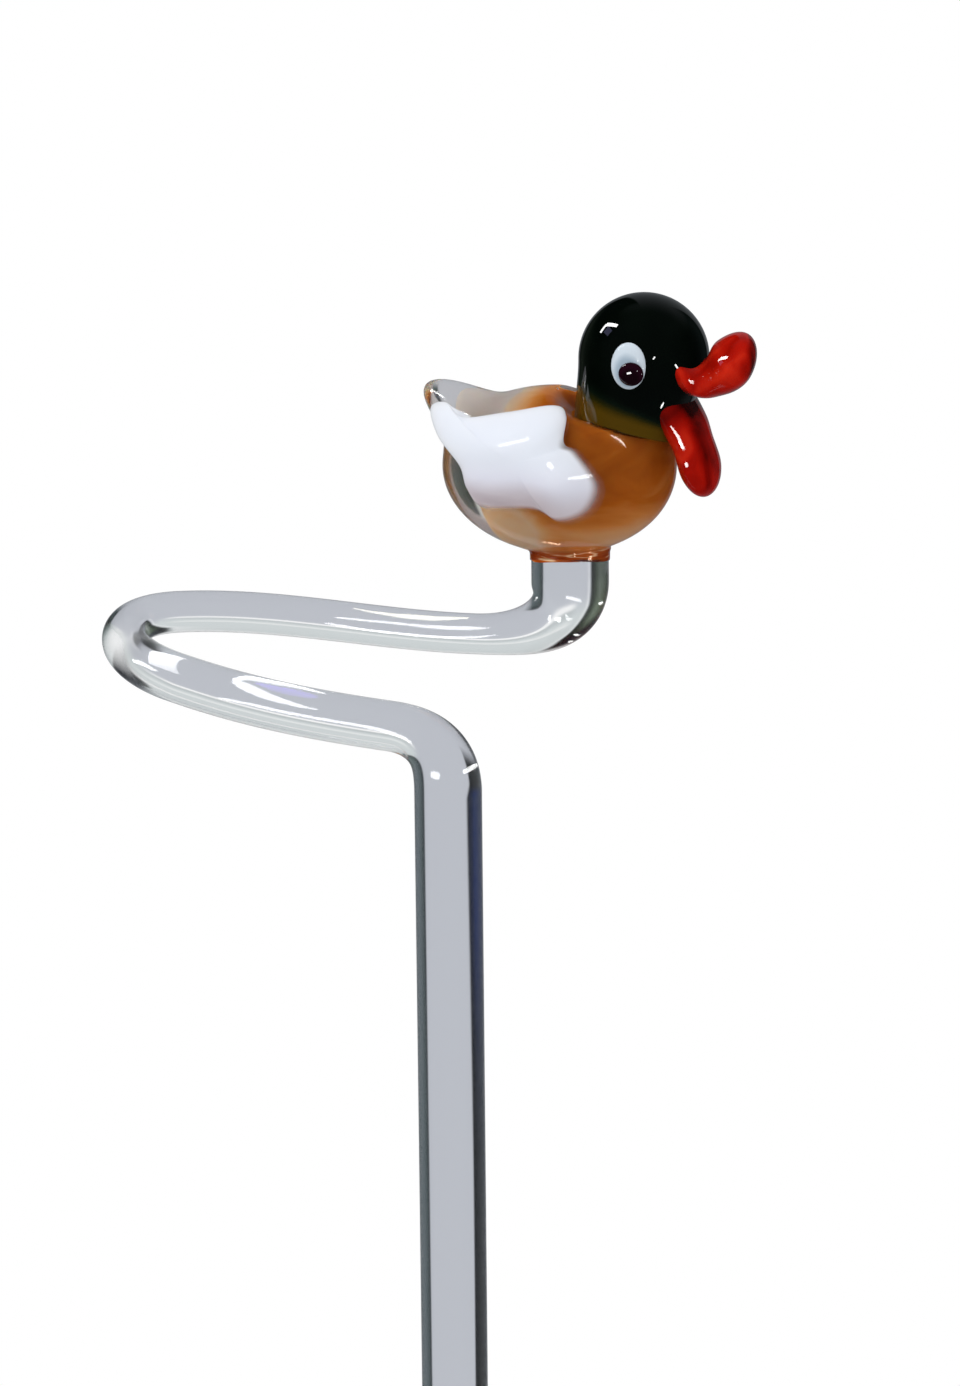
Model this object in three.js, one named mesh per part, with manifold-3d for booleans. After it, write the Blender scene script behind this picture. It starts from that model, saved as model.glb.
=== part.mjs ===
// A lampworked glass orchid stake. A clear rod stands in the pot, and its top is bent into a hairpin that the
// flower stem passes through. The rod's other end turns up into a riser that carries a cased glass duck.
// Millimetres, +Z up the stake, foot face at the origin, near arm of the hairpin towards -X, far arm behind at +Y.
import * as THREE from 'three';
import { LoftGeometry } from 'three/addons/geometries/LoftGeometry.js';
import { mergeVertices } from 'three/addons/utils/BufferGeometryUtils.js';
import Module from 'manifold-3d';

// Space left at every fused joint
const fuseGap = 0.3;

// Rod: heights of the hairpin are counted from the corner where the near arm leaves the stake
const stakeDiameter = 7;
const stakeLength = 450.6;
const footFlat = 5;
const nearArmDiameter = 5.3;
const turnDiameter = 4.8;
const farArmDiameter = 4.6;
const riserDiameter = 8;
const riserTopDiameter = 8.6;
const elbowRun = 7.6;
const hairpinReach = 34.6;
const turnRun = 5.6;
const nearArmBack = 9;
const nearArmRise = 4.3;
const farArmBack = 22;
const farArmRise = 8.5;
const riserRight = 13.2;
const riserBack = 16;
const riserCornerRise = 6.5;
const riserBendRun = 10.4;
const riserBendRise = 6.3;
const riserHeight = 15.4;

// Duck's clear casing: x runs to the duck's front and y to its left, from the middle of the riser's top
const duckTurn = 23;
const bodyLength = 25.5;
const bodyWidth = 18.4;
const bodyHeight = 17.9;
const bodyBack = 1.35;
const bellyClear = 0.3;
const tailLength = 5.75;
const tailWidth = 7;
const tailThickness = 5;
const tailAngle = 29;
const chestRise = 1.6;
const chestAngle = 36;
const chestSpread = 28;

// Amber core inside the casing: wall left outside it, column on the riser and boss up into the neck
const breastWall = 1.3;
const rumpWall = 5;
const sideWall = 1.4;
const bellyWall = 1.3;
const columnFlare = 0.3;
const bossDiameter = 4.6;
const bossDrop = 3.7;

// Head: a ball that draws in to a neck, which leans back down to its skirt
const headDiameter = 13.8;
const headSetIn = 2.9;
const headClear = 3.65;
const neckDiameter = 11.8;
const neckDrop = 8;
const neckShift = 1.5;
const skirtDrop = 7.4;
const skirtFlare = 0.2;
const skirtTilt = 5;

// Eyes on the sides of the head, turned from straight ahead and up from level
const eyeWidth = 3.7;
const eyeHeight = 4.9;
const eyeThickness = 1.8;
const eyeSideAngle = 80.5;
const eyeUpAngle = 2.5;
const pupilDiameter = 2.4;
const pupilThickness = 1.1;
const pupilSideAngle = 78;
const pupilUpAngle = -3;

// Open bill: two lobes
const upperBillWidth = 7.2;
const upperBillThickness = 4.4;
const lowerBillWidth = 8.4;
const lowerBillThickness = 4.2;

// Opal wings on the casing's sides
const wingThickness = 0.9;
const wingRoot = 1.9;
const leftWingDrop = 1;

const wasm = await Module();
wasm.setup();
const point = (x, y, z) => new THREE.Vector3(x, y, z);
const radians = THREE.MathUtils.degToRad;
const { lerp, smoothstep } = THREE.MathUtils;

// Closed solid of a geometry, with the flat triangles at its poles left out
function solidOf(geometry) {
  const bare = new THREE.BufferGeometry();
  bare.setAttribute('position', geometry.getAttribute('position'));
  bare.setIndex(geometry.getIndex());
  const merged = mergeVertices(bare, 1e-4);
  const corners = merged.index.array;
  const kept = [];
  for (let i = 0; i < corners.length; i += 3) {
    const [a, b, c] = corners.slice(i, i + 3);
    if (a !== b && b !== c && c !== a) kept.push(a, b, c);
  }
  return new wasm.Manifold(new wasm.Mesh({
    numProp: 3,
    vertProperties: new Float32Array(merged.attributes.position.array),
    triVerts: new Uint32Array(kept),
  }));
}

function geometryOf(solid) {
  const mesh = solid.getMesh();
  const geometry = new THREE.BufferGeometry();
  geometry.setAttribute('position', new THREE.BufferAttribute(mesh.vertProperties, 3));
  geometry.setIndex(new THREE.BufferAttribute(mesh.triVerts, 1));
  geometry.computeVertexNormals();
  return geometry;
}

// Ring of points about a centre, turning from u to v
function ring(centre, u, v, sides) {
  return Array.from({ length: sides }, (_, i) => {
    const turn = 2 * Math.PI * i / sides;
    return centre.clone().addScaledVector(u, Math.cos(turn)).addScaledVector(v, Math.sin(turn));
  });
}

function loft(sections, capStart = false, capEnd = false) {
  return new LoftGeometry(sections, { closed: true, capStart, capEnd });
}

// Rod: each stretch of the centre line with its number of steps and its diameter at both ends
function rodStretches() {
  const footEdge = point(0, 0, (stakeDiameter - footFlat) / 2);
  const corner = point(0, 0, stakeLength);
  const elbowStart = point(0, 0, stakeLength - elbowRun);
  const nearWay = point(-1, 0.24, 0.1).normalize();
  const elbowEnd = corner.clone().addScaledVector(nearWay, elbowRun);
  const turnStart = point(turnRun - hairpinReach, nearArmBack, stakeLength + nearArmRise);
  const turnEnd = point(turnRun - hairpinReach, farArmBack, stakeLength + farArmRise);
  const turnInWay = point(-1, 0.5, 0.24);
  const turnOutWay = point(1, 0.06, 0.02);
  const turnPull = turnRun / 0.75;
  const riserCorner = point(riserRight, riserBack, stakeLength + riserCornerRise);
  const bendWay = point(1, -0.2, 0);
  const bendStart = riserCorner.clone().addScaledVector(bendWay, -riserBendRun);
  const bendEnd = riserCorner.clone().add(point(0, 0, riserBendRise));
  const riserEnd = point(riserRight, riserBack, stakeLength + riserHeight);
  const nearPull = elbowEnd.distanceTo(turnStart) / 3;
  const farPull = turnEnd.distanceTo(bendStart) / 3;
  const nearArm = new THREE.CubicBezierCurve3(
    elbowEnd,
    elbowEnd.clone().addScaledVector(nearWay, nearPull),
    turnStart.clone().addScaledVector(turnInWay, -nearPull),
    turnStart,
  );
  const turn = new THREE.CubicBezierCurve3(
    turnStart,
    turnStart.clone().addScaledVector(turnInWay, turnPull),
    turnEnd.clone().addScaledVector(turnOutWay, -turnPull),
    turnEnd,
  );
  const farArm = new THREE.CubicBezierCurve3(
    turnEnd,
    turnEnd.clone().addScaledVector(turnOutWay, farPull),
    bendStart.clone().addScaledVector(bendWay, -farPull),
    bendStart,
  );
  return [
    [new THREE.LineCurve3(footEdge, elbowStart), 4, stakeDiameter, stakeDiameter],
    [new THREE.QuadraticBezierCurve3(elbowStart, corner, elbowEnd), 7, stakeDiameter, nearArmDiameter],
    [nearArm, 6, nearArmDiameter, nearArmDiameter],
    [turn, 12, nearArmDiameter, turnDiameter],
    [farArm, 7, turnDiameter, farArmDiameter],
    [new THREE.QuadraticBezierCurve3(bendStart, riserCorner, bendEnd), 8, farArmDiameter, riserDiameter],
    [new THREE.LineCurve3(bendEnd, riserEnd), 2, riserDiameter, riserTopDiameter],
  ];
}

// The rod's rings follow the centre line, after a flat foot with a fire-polished edge
function stakeRod() {
  const sides = 20;
  const footEdge = (stakeDiameter - footFlat) / 2;
  const across = point(1, 0, 0);
  const sections = [];
  const addRing = (centre, way, diameter) => {
    across.addScaledVector(way, -across.dot(way)).normalize();
    const u = across.clone().multiplyScalar(diameter / 2);
    sections.push(ring(centre, u, way.clone().cross(u), sides));
  };
  for (const angle of [0, 30, 60].map(radians)) {
    const rise = footEdge * (1 - Math.cos(angle));
    addRing(point(0, 0, rise), point(0, 0, 1), footFlat + 2 * footEdge * Math.sin(angle));
  }
  rodStretches().forEach(([curve, steps, from, to], stretch) => {
    for (let i = stretch === 0 ? 0 : 1; i <= steps; i += 1) {
      const t = i / steps;
      addRing(curve.getPoint(t), curve.getTangent(t), lerp(from, to, smoothstep(t, 0, 1)));
    }
  });
  return loft(sections, true, true);
}

const bodyHalf = point(bodyLength / 2, bodyWidth / 2, bodyHeight / 2);
const bodyCentre = point(-bodyBack, 0, bodyHalf.z + bellyClear);

// Casing's outside: an ellipsoid that swells up to the neck, with a tail drawn out of it, built in rings about
// the tail's direction
function casingOutside(grow) {
  const half = bodyHalf.clone().addScalar(grow);
  const chestWay = point(Math.cos(radians(chestAngle)), 0, Math.sin(radians(chestAngle)));
  const tailWay = point(-Math.cos(radians(tailAngle)), 0, Math.sin(radians(tailAngle)));
  const sideWay = point(0, 1, 0);
  const topWay = sideWay.clone().cross(tailWay);
  const rings = 24;
  const sides = 32;
  const sections = [];
  for (let i = 0; i <= rings; i += 1) {
    const away = Math.PI * (i / rings) ** 1.5;
    const row = ring(point(0, 0, 0), sideWay, topWay, sides).map((around) => {
      const flat = Math.hypot(around.dot(sideWay) / tailWidth, around.dot(topWay) / tailThickness);
      const tail = tailLength * Math.exp(-((away * bodyLength * flat) ** 2));
      const way = around.multiplyScalar(Math.sin(away)).addScaledVector(tailWay, Math.cos(away));
      const chest = chestRise * Math.exp(-((way.angleTo(chestWay) / radians(chestSpread)) ** 2));
      const reach = 1 / way.clone().divide(half).length();
      return bodyCentre.clone().addScaledVector(way, reach + tail + chest);
    });
    sections.push(row);
  }
  return solidOf(loft(sections));
}

const headCentre = point(bodyHalf.x - bodyBack - headSetIn, 0, bodyCentre.z + bodyHalf.z + headClear);
const headRadius = headDiameter / 2;

// Middle of the neck, a given drop below the head's centre
function neckMiddle(drop) {
  return headCentre.clone().add(point(-neckShift * smoothstep(drop, 0, skirtDrop), 0, -drop));
}

// Round bar between two points
function bar(from, to, fromRadius, toRadius) {
  const sides = 28;
  const way = to.clone().sub(from).normalize();
  const u = point(0, 1, 0);
  const v = way.clone().cross(u);
  const start = ring(from, u.clone().multiplyScalar(fromRadius), v.clone().multiplyScalar(fromRadius), sides);
  const end = ring(to, u.clone().multiplyScalar(toRadius), v.clone().multiplyScalar(toRadius), sides);
  return solidOf(loft([start, end], true, true));
}

// Amber core: an ellipsoid on a column, with a boss up into the neck
function amberCore(grow) {
  const half = point((bodyLength - breastWall - rumpWall) / 2, bodyHalf.y - sideWall, bodyHalf.z - bellyWall);
  const middle = bodyCentre.clone().add(point((rumpWall - breastWall) / 2, 0, 0));
  const egg = new THREE.SphereGeometry(1, 30, 20);
  egg.scale(half.x + grow, half.y + grow, half.z + grow);
  egg.translate(middle.x, middle.y, middle.z);
  const columnRadius = riserTopDiameter / 2 + grow;
  const columnBottom = point(0, 0, fuseGap / 2 - grow);
  const columnTop = point(0, 0, bodyCentre.z - half.z / 2);
  const bossRadius = bossDiameter / 2 + grow;
  return solidOf(egg)
    .add(bar(columnBottom, columnTop, columnRadius, columnRadius + columnFlare))
    .add(bar(point(headCentre.x / 2, 0, bodyCentre.z), neckMiddle(bossDrop - grow), bossRadius, bossRadius));
}

// Bill lobe along a bent middle line, its points in head radii from the head's centre: root, bend and tip
function billLobe(line, width, thickness, grow) {
  const [root, bend, tip] = line.map(([x, z]) => headCentre.clone().add(point(x * headRadius, 0, z * headRadius)));
  const curve = new THREE.QuadraticBezierCurve3(root, bend, tip);
  const roundStart = 0.5;
  const steps = 12;
  const sides = 22;
  const sections = [];
  for (let i = 0; i <= steps; i += 1) {
    const t = Math.sin(Math.PI / 2 * i / steps);
    const way = curve.getTangent(t);
    const side = point(0, 1, 0);
    const past = Math.max(0, (t - roundStart) / (1 - roundStart));
    const fullness = Math.sqrt(Math.max(0, 1 - past * past)) * lerp(0.8, 1, smoothstep(t, 0, roundStart));
    const middle = curve.getPoint(t).addScaledVector(way, i === 0 ? -grow : 0);
    const v = way.clone().cross(side).multiplyScalar(fullness * (thickness / 2 + grow));
    const u = side.multiplyScalar(fullness * (width / 2 + grow));
    sections.push(ring(middle, u, v, sides));
  }
  return solidOf(loft(sections, true, false));
}

const upperBill = (grow) =>
  billLobe([[0.71, -0.24], [1.22, -0.48], [1.66, 0.42]], upperBillWidth, upperBillThickness, grow);
const lowerBill = (grow) =>
  billLobe([[0.51, -0.58], [0.88, -1.2], [1.05, -2.1]], lowerBillWidth, lowerBillThickness, grow);

// Eye lens: a flattened ball that faces outward from the head's centre, side -1 right and 1 left
function eyeLens(side, sideAngle, upAngle, width, height, thickness, proud) {
  const level = Math.cos(radians(upAngle));
  const ahead = level * Math.cos(radians(sideAngle));
  const beside = level * Math.sin(radians(sideAngle));
  const out = point(ahead, side * beside, Math.sin(radians(upAngle)));
  const along = point(0, 0, 1).cross(out).normalize();
  const lens = new THREE.SphereGeometry(1, 20, 12);
  lens.scale(width / 2, height / 2, thickness / 2);
  lens.applyMatrix4(new THREE.Matrix4().makeBasis(along, out.clone().cross(along), out));
  const middle = headCentre.clone().addScaledVector(out, headRadius + proud);
  lens.translate(middle.x, middle.y, middle.z);
  return solidOf(lens);
}

function eyeWhite(side, grow) {
  const more = 2 * grow;
  const sunk = -eyeThickness / 6;
  return eyeLens(side, eyeSideAngle, eyeUpAngle, eyeWidth + more, eyeHeight + more, eyeThickness + more, sunk);
}

function pupil(side, grow) {
  const wide = pupilDiameter + 2 * grow;
  const proud = eyeThickness / 4;
  return eyeLens(side, pupilSideAngle, pupilUpAngle, wide, wide, pupilThickness + 2 * grow, proud);
}

// Head and neck in level rings, cut to sit on the casing and to take the eyes and the bill
function head() {
  const sides = 36;
  const neckSteps = 9;
  const sections = [];
  const addRing = (middle, radius, tilt) => {
    const u = point(Math.cos(tilt), 0, -Math.sin(tilt)).multiplyScalar(radius);
    sections.push(ring(middle, u, point(0, radius, 0), sides));
  };
  const skirtEdge = 0.5;
  addRing(neckMiddle(skirtDrop + skirtEdge), neckDiameter / 2 - skirtEdge, radians(skirtTilt));
  for (let i = 0; i <= neckSteps; i += 1) {
    const up = i / neckSteps;
    const drop = skirtDrop * (1 - up);
    const flare = skirtFlare * (1 - smoothstep(up, 0, 0.4));
    const radius = lerp(headRadius, neckDiameter / 2, smoothstep(drop, 0, neckDrop)) + flare;
    addRing(neckMiddle(drop), radius, radians(skirtTilt) * (1 - up));
  }
  for (let angle = 11.25; angle <= 90; angle += 11.25) {
    const rise = headRadius * Math.sin(radians(angle));
    addRing(headCentre.clone().add(point(0, 0, rise)), headRadius * Math.cos(radians(angle)), 0);
  }
  return solidOf(loft(sections, true, false))
    .subtract(casingOutside(fuseGap))
    .subtract(amberCore(fuseGap))
    .subtract(upperBill(fuseGap))
    .subtract(lowerBill(fuseGap))
    .subtract(eyeWhite(1, fuseGap))
    .subtract(eyeWhite(-1, fuseGap));
}

// Wing: a sheet that bows over the body's side, domed outside and thick enough inside to reach the casing.
// Its outline is in parts of the body's half length and half height from its centre.
function wing(side, drop) {
  const outline = [
    [-1, 0.74], [-0.85, 0.82], [-0.64, 0.7], [-0.24, 0.8], [0.15, 0.9], [0.28, 0.8], [0.31, 0.5], [0.46, 0.4],
    [0.65, 0.02], [0.56, -0.33], [0.31, -0.47], [0.1, -0.32], [-0.37, -0.34], [-0.52, -0.08], [-0.6, 0.17],
    [-0.86, 0.46],
  ];
  const middle = point(-0.06, 0, 0.28);
  const edge = new THREE.CatmullRomCurve3(outline.map(([x, z]) => point(x, 0, z)), true).getPoints(48).slice(1);
  const bow = (x, z) => bodyHalf.y * (1.08 - 0.345 * (x + 0.06) ** 2 - 0.437 * (z + 0.09) ** 2);
  const dome = [[0, 1], [0.35, 1], [0.65, 0.9], [0.87, 0.6], [1, 0]].map(([size, out]) => [size, out * wingThickness]);
  const underside = [[0.93, 0.5], [0.75, 1], [0, 1]].map(([size, depth]) => [size, -depth * wingRoot]);
  const sections = [...dome, ...underside].map(([size, out]) => {
    const row = edge.map((corner) => {
      const place = middle.clone().lerp(corner, size);
      place.z -= drop / bodyHalf.z;
      place.y = side * (bow(place.x, place.z) + out) / bodyHalf.y;
      return place.multiply(bodyHalf).add(bodyCentre);
    });
    return side > 0 ? row.reverse() : row;
  });
  return solidOf(loft(sections)).subtract(casingOutside(fuseGap));
}

// Glass colours
const glass = (color, roughness) => new THREE.MeshStandardMaterial({ color, roughness, metalness: 0 });
const clear = glass(0xb9c2c9, 0.04);
const amber = glass(0xaf6428, 0.12);
const opalWhite = glass(0xe8e8f2, 0.2);
const darkGreen = glass(0x1c2a12, 0.08);
const red = glass(0xd0220f, 0.08);
const eyeOpal = glass(0xf0f1f6, 0.15);
const aubergine = glass(0x2d0a19, 0.08);

const stake = new THREE.Group();
const duck = new THREE.Group();
duck.position.set(riserRight, riserBack, stakeLength + riserHeight + fuseGap / 2);
duck.rotation.z = radians(-duckTurn);
stake.add(duck);

function addPart(parent, name, geometry, material) {
  const mesh = new THREE.Mesh(geometry, material);
  mesh.name = name;
  parent.add(mesh);
}

addPart(stake, 'stake_rod', stakeRod(), clear);
addPart(duck, 'amber_core', geometryOf(amberCore(0)), amber);
addPart(duck, 'clear_casing', geometryOf(casingOutside(0).subtract(amberCore(fuseGap))), clear);
addPart(duck, 'wing_right', geometryOf(wing(-1, 0)), opalWhite);
addPart(duck, 'wing_left', geometryOf(wing(1, leftWingDrop)), opalWhite);
addPart(duck, 'head', geometryOf(head()), darkGreen);
addPart(duck, 'upper_bill', geometryOf(upperBill(0)), red);
addPart(duck, 'lower_bill', geometryOf(lowerBill(0).subtract(upperBill(fuseGap))), red);
for (const [label, side] of [['right', -1], ['left', 1]]) {
  addPart(duck, `eye_white_${label}`, geometryOf(eyeWhite(side, 0).subtract(pupil(side, fuseGap))), eyeOpal);
  addPart(duck, `pupil_${label}`, geometryOf(pupil(side, 0)), aubergine);
}

export default stake;
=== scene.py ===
import math

import bpy
import numpy as np
from mathutils import Matrix, Vector
from mathutils.bvhtree import BVHTree
from mathutils.interpolate import poly_3d_calc


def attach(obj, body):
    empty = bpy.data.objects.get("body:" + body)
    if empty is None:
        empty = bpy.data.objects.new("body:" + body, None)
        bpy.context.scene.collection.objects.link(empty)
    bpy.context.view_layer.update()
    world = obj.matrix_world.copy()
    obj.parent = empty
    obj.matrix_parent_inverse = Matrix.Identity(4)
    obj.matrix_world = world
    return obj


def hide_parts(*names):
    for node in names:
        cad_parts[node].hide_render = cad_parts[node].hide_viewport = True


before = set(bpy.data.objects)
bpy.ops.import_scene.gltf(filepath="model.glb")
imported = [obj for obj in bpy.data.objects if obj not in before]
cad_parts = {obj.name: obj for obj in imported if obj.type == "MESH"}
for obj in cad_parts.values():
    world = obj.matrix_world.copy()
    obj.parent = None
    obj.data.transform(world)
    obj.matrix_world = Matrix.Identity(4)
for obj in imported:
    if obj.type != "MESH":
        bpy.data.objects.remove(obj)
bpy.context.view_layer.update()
mm = 0.001


# sRGB hex to linear colour
def linear(hexColour):
    srgb = np.array([int(hexColour[i:i + 2], 16) for i in (0, 2, 4)]) / 255
    plain = np.where(srgb <= 0.04045, srgb / 12.92, ((srgb + 0.055) / 1.055) ** 2.4)
    return (*plain.tolist(), 1.0)


# one node, its settings, and its inputs as numbers or as links from other sockets
def addNode(tree, kind, inputs=None, **settings):
    node = tree.nodes.new(kind)
    for name, value in settings.items():
        setattr(node, name, value)
    for name, value in (inputs or {}).items():
        if isinstance(value, bpy.types.NodeSocket):
            tree.links.new(value, node.inputs[name])
        else:
            node.inputs[name].default_value = value
    return node


# colour stops of a ramp node, by place and hex
def setStops(node, stops):
    ramp = node.color_ramp
    while len(ramp.elements) > 1:
        ramp.elements.remove(ramp.elements[-1])
    ramp.elements[0].position = stops[0][0]
    ramp.elements[0].color = linear(stops[0][1])
    for place, colour in stops[1:]:
        ramp.elements.new(place).color = linear(colour)
    return node


# new material: its node tree, its output and the Object coordinates that it reads
def newMaterial(name):
    material = bpy.data.materials.new(name)
    material.use_nodes = True
    tree = material.node_tree
    tree.nodes.clear()
    output = addNode(tree, "ShaderNodeOutputMaterial")
    place = addNode(tree, "ShaderNodeTexCoord").outputs["Object"]
    return material, tree, output, place


# 0 below low, 1 above high, eased between
def smoothStep(value, low, high):
    t = np.clip((value - low) / (high - low), 0, 1)
    return t * t * (3 - 2 * t)


def unit(vectors):
    return vectors / np.linalg.norm(vectors, axis=-1, keepdims=True)


def addObject(name, data):
    thing = bpy.data.objects.new(name, data)
    bpy.context.scene.collection.objects.link(thing)
    return thing


# matrix from three axes and a place
def axesMatrix(along, over, back, place):
    return Matrix((*zip(along, over, back, place), (0, 0, 0, 1)))


# pieces that a lamp may be kept to
setsOf = {"clear_glass": ("rod",), "casing_glass": ("duck", "casing"), "opal_glass": ("wing",),
          "red_glass": ("duck", "bill")}
setNames = ("rod", "duck", "casing", "wing", "face", "bill")
lampSets = {name: bpy.data.collections.new(name) for name in setNames}


# closed skin from rings of points: rows along the piece, columns once around, a tip at each end
def closedSkin(name, rings, tips, material, slotName, nodes, fields=None):
    rows, columns = rings.shape[:2]
    points = np.concatenate([rings.reshape(-1, 3), np.asarray(tips, float)])
    index = np.arange(rows * columns).reshape(rows, columns)
    beside = np.roll(index, -1, axis=1)
    quads = np.stack([index[:-1], beside[:-1], beside[1:], index[1:]], -1).reshape(-1, 4)
    firstTip = np.stack([beside[0], index[0], np.full(columns, rows * columns)], -1)
    lastTip = np.stack([index[-1], beside[-1], np.full(columns, rows * columns + 1)], -1)
    triangles = np.concatenate([quads[:, [0, 1, 2]], quads[:, [0, 2, 3]], firstTip, lastTip])
    a, b, c = (points[triangles[:, i]] for i in range(3))
    if np.einsum("ij,ij->", a, np.cross(b, c)) < 0:  # signed volume: turn the faces outwards
        quads, firstTip, lastTip = quads[:, ::-1], firstTip[:, ::-1], lastTip[:, ::-1]
    corners = np.concatenate([quads.ravel(), firstTip.ravel(), lastTip.ravel()])
    sizes = np.concatenate([np.full(len(quads), 4), np.full(2 * columns, 3)])
    mesh = bpy.data.meshes.new(name)
    mesh.vertices.add(len(points))
    mesh.vertices.foreach_set("co", (points * mm).astype(np.float32).ravel())
    mesh.loops.add(len(corners))
    mesh.loops.foreach_set("vertex_index", corners.astype(np.int32))
    mesh.polygons.add(len(sizes))
    mesh.polygons.foreach_set("loop_start", (np.cumsum(sizes) - sizes).astype(np.int32))
    mesh.update(calc_edges=True)
    mesh.polygons.foreach_set("use_smooth", np.ones(len(sizes), bool))
    for fieldName, values in (fields or {}).items():
        field = mesh.attributes.new(fieldName, "FLOAT", "POINT")
        ends = [values[0].mean(), values[-1].mean()]
        field.data.foreach_set("value", np.concatenate([values.ravel(), ends]).astype(np.float32))
    mesh.materials.append(material)
    piece = addObject(name, mesh)
    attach(piece, "root")
    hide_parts(*nodes)
    for lampSet in setsOf.get(slotName, ("duck", "face")):
        lampSets[lampSet].objects.link(piece)
    print("made", name, len(points), "points")
    return piece


def steps(count, start=0.0, end=1.0):
    return np.linspace(start, end, count)


def around(count):
    return np.linspace(0, 2 * np.pi, count, endpoint=False)


# camera and white studio
view = {"elevation": 14.0, "roll": -0.57, "distance": 520.0, "pixelsPerMm": 9.571,
        "target": (3.444, 1.180, 454.732), "pixelsHigh": 1386, "sensor": 36}
tilt, roll = math.radians(view["elevation"]), math.radians(view["roll"])
backWay = Vector((0, -math.cos(tilt), math.sin(tilt)))
upWay = Vector((0, math.sin(tilt), math.cos(tilt)))
rightWay = Vector((1, 0, 0)) * math.cos(roll) + upWay * math.sin(roll)
upWay = upWay * math.cos(roll) - Vector((1, 0, 0)) * math.sin(roll)
cameraData = bpy.data.cameras.new("camera")
cameraData.sensor_fit = "VERTICAL"
cameraData.sensor_height = view["sensor"]
cameraData.lens = view["sensor"] * view["pixelsPerMm"] * view["distance"] / view["pixelsHigh"]
cameraData.clip_start, cameraData.clip_end = 0.01, 50
camera = addObject("camera", cameraData)
cameraPlace = Vector(view["target"]) * mm + backWay * view["distance"] * mm
camera.matrix_world = axesMatrix(rightWay, upWay, backWay, cameraPlace)
bpy.context.scene.camera = camera
bpy.context.scene.view_settings.view_transform = "Standard"

# world: white to the camera, soft white light, and a pale studio with dark side screens in the glass
studio = {"table": "C0C3CB", "tableEdge": "FFFFFF", "wall": "D2D8D9", "ceiling": "FFFFFF", "front": "2A2C2E",
          "back": "7C8084", "lightLow": 0.70, "lightHigh": 1.0, "ceilingRise": (0.6, 0.85)}
world = bpy.data.worlds.new("studio")
bpy.context.scene.world = world
world.use_nodes = True
sky = world.node_tree
sky.nodes.clear()
way = addNode(sky, "ShaderNodeTexCoord").outputs["Generated"]
axes = addNode(sky, "ShaderNodeSeparateXYZ", {0: way})
rise = axes.outputs["Z"]
bearing = addNode(sky, "ShaderNodeMath", {0: axes.outputs["X"], 1: axes.outputs["Y"]}, operation="ARCTAN2")
turnShare = addNode(sky, "ShaderNodeMapRange", {
    "Value": bearing.outputs[0], "From Min": -math.pi, "From Max": math.pi}).outputs[0]
riseShare = addNode(sky, "ShaderNodeMapRange", {"Value": rise, "From Min": -1.0, "From Max": 1.0}).outputs[0]
# left screen: grey, navy and green by height, its edge moved over at the table and at the top
leftShift = addNode(sky, "ShaderNodeMapRange", {
    "Value": rise, "From Min": -0.33, "From Max": -0.24, "To Min": 0.0, "To Max": 0.023}).outputs[0]
topShift = addNode(sky, "ShaderNodeMapRange", {
    "Value": rise, "From Min": 0.0, "From Max": 0.38, "To Min": 0.0, "To Max": 0.04}).outputs[0]
leftTurn = addNode(sky, "ShaderNodeMath", {0: turnShare, 1: leftShift}, operation="SUBTRACT").outputs[0]
leftTurn = addNode(sky, "ShaderNodeMath", {0: leftTurn, 1: topShift}, operation="SUBTRACT").outputs[0]
leftCover = setStops(addNode(sky, "ShaderNodeValToRGB", {0: leftTurn}), [
    (0.14, "000000"), (0.22, "FFFFFF"), (0.412, "FFFFFF"), (0.418, "000000")]).outputs[0]
leftLevel = setStops(addNode(sky, "ShaderNodeValToRGB", {0: leftTurn}), [
    (0.22, "A0A0A0"), (0.33, "C0C0C0"), (0.37, "E8E8E8"), (0.395, "909090"), (0.41, "505050")]).outputs[0]
leftTone = setStops(addNode(sky, "ShaderNodeValToRGB", {0: riseShare}), [
    (0.335, "2A2C28"), (0.347, "1C2A40"), (0.357, "003284"), (0.370, "002C70"), (0.379, "5A6456"),
    (0.395, "8E9A84"), (0.60, "8E9A84"), (0.70, "181C2C")]).outputs[0]
# right screen, and the table's bright edge before the wall
rightScreen = setStops(addNode(sky, "ShaderNodeValToRGB", {0: turnShare}), [
    (0.0, "FFFFFF"), (0.592, "FFFFFF"), (0.598, "2C3638"), (0.612, "5A6664"), (0.64, "748080"),
    (0.75, "86908C"), (0.86, "F0F0F0"), (1.0, "FFFFFF")]).outputs[0]
edgeWall = setStops(addNode(sky, "ShaderNodeValToRGB", {0: riseShare}), [
    (0.462, studio["table"]), (0.472, studio["tableEdge"]), (0.484, studio["tableEdge"]), (0.496, "B8BEC0"),
    (0.53, studio["wall"]), (0.56, "EEF0F0"), (0.575, studio["wall"]), (1.0, studio["wall"])]).outputs[0]
softWall = setStops(addNode(sky, "ShaderNodeValToRGB", {0: riseShare}), [
    (0.44, studio["table"]), (0.53, studio["wall"]), (1.0, studio["wall"])]).outputs[0]
edgeShare = setStops(addNode(sky, "ShaderNodeValToRGB", {0: turnShare}), [
    (0.475, "000000"), (0.495, "FFFFFF"), (0.53, "FFFFFF"), (0.56, "000000")]).outputs[0]
lowWall = addNode(sky, "ShaderNodeMix", {0: edgeShare, 6: softWall, 7: edgeWall}, data_type="RGBA").outputs[2]
ceilingShare = addNode(sky, "ShaderNodeMapRange", {
    "Value": rise, "From Min": studio["ceilingRise"][0], "From Max": studio["ceilingRise"][1]},
    interpolation_type="SMOOTHSTEP").outputs[0]
steep = addNode(sky, "ShaderNodeMath", {0: rise}, operation="ABSOLUTE").outputs[0]
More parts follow.
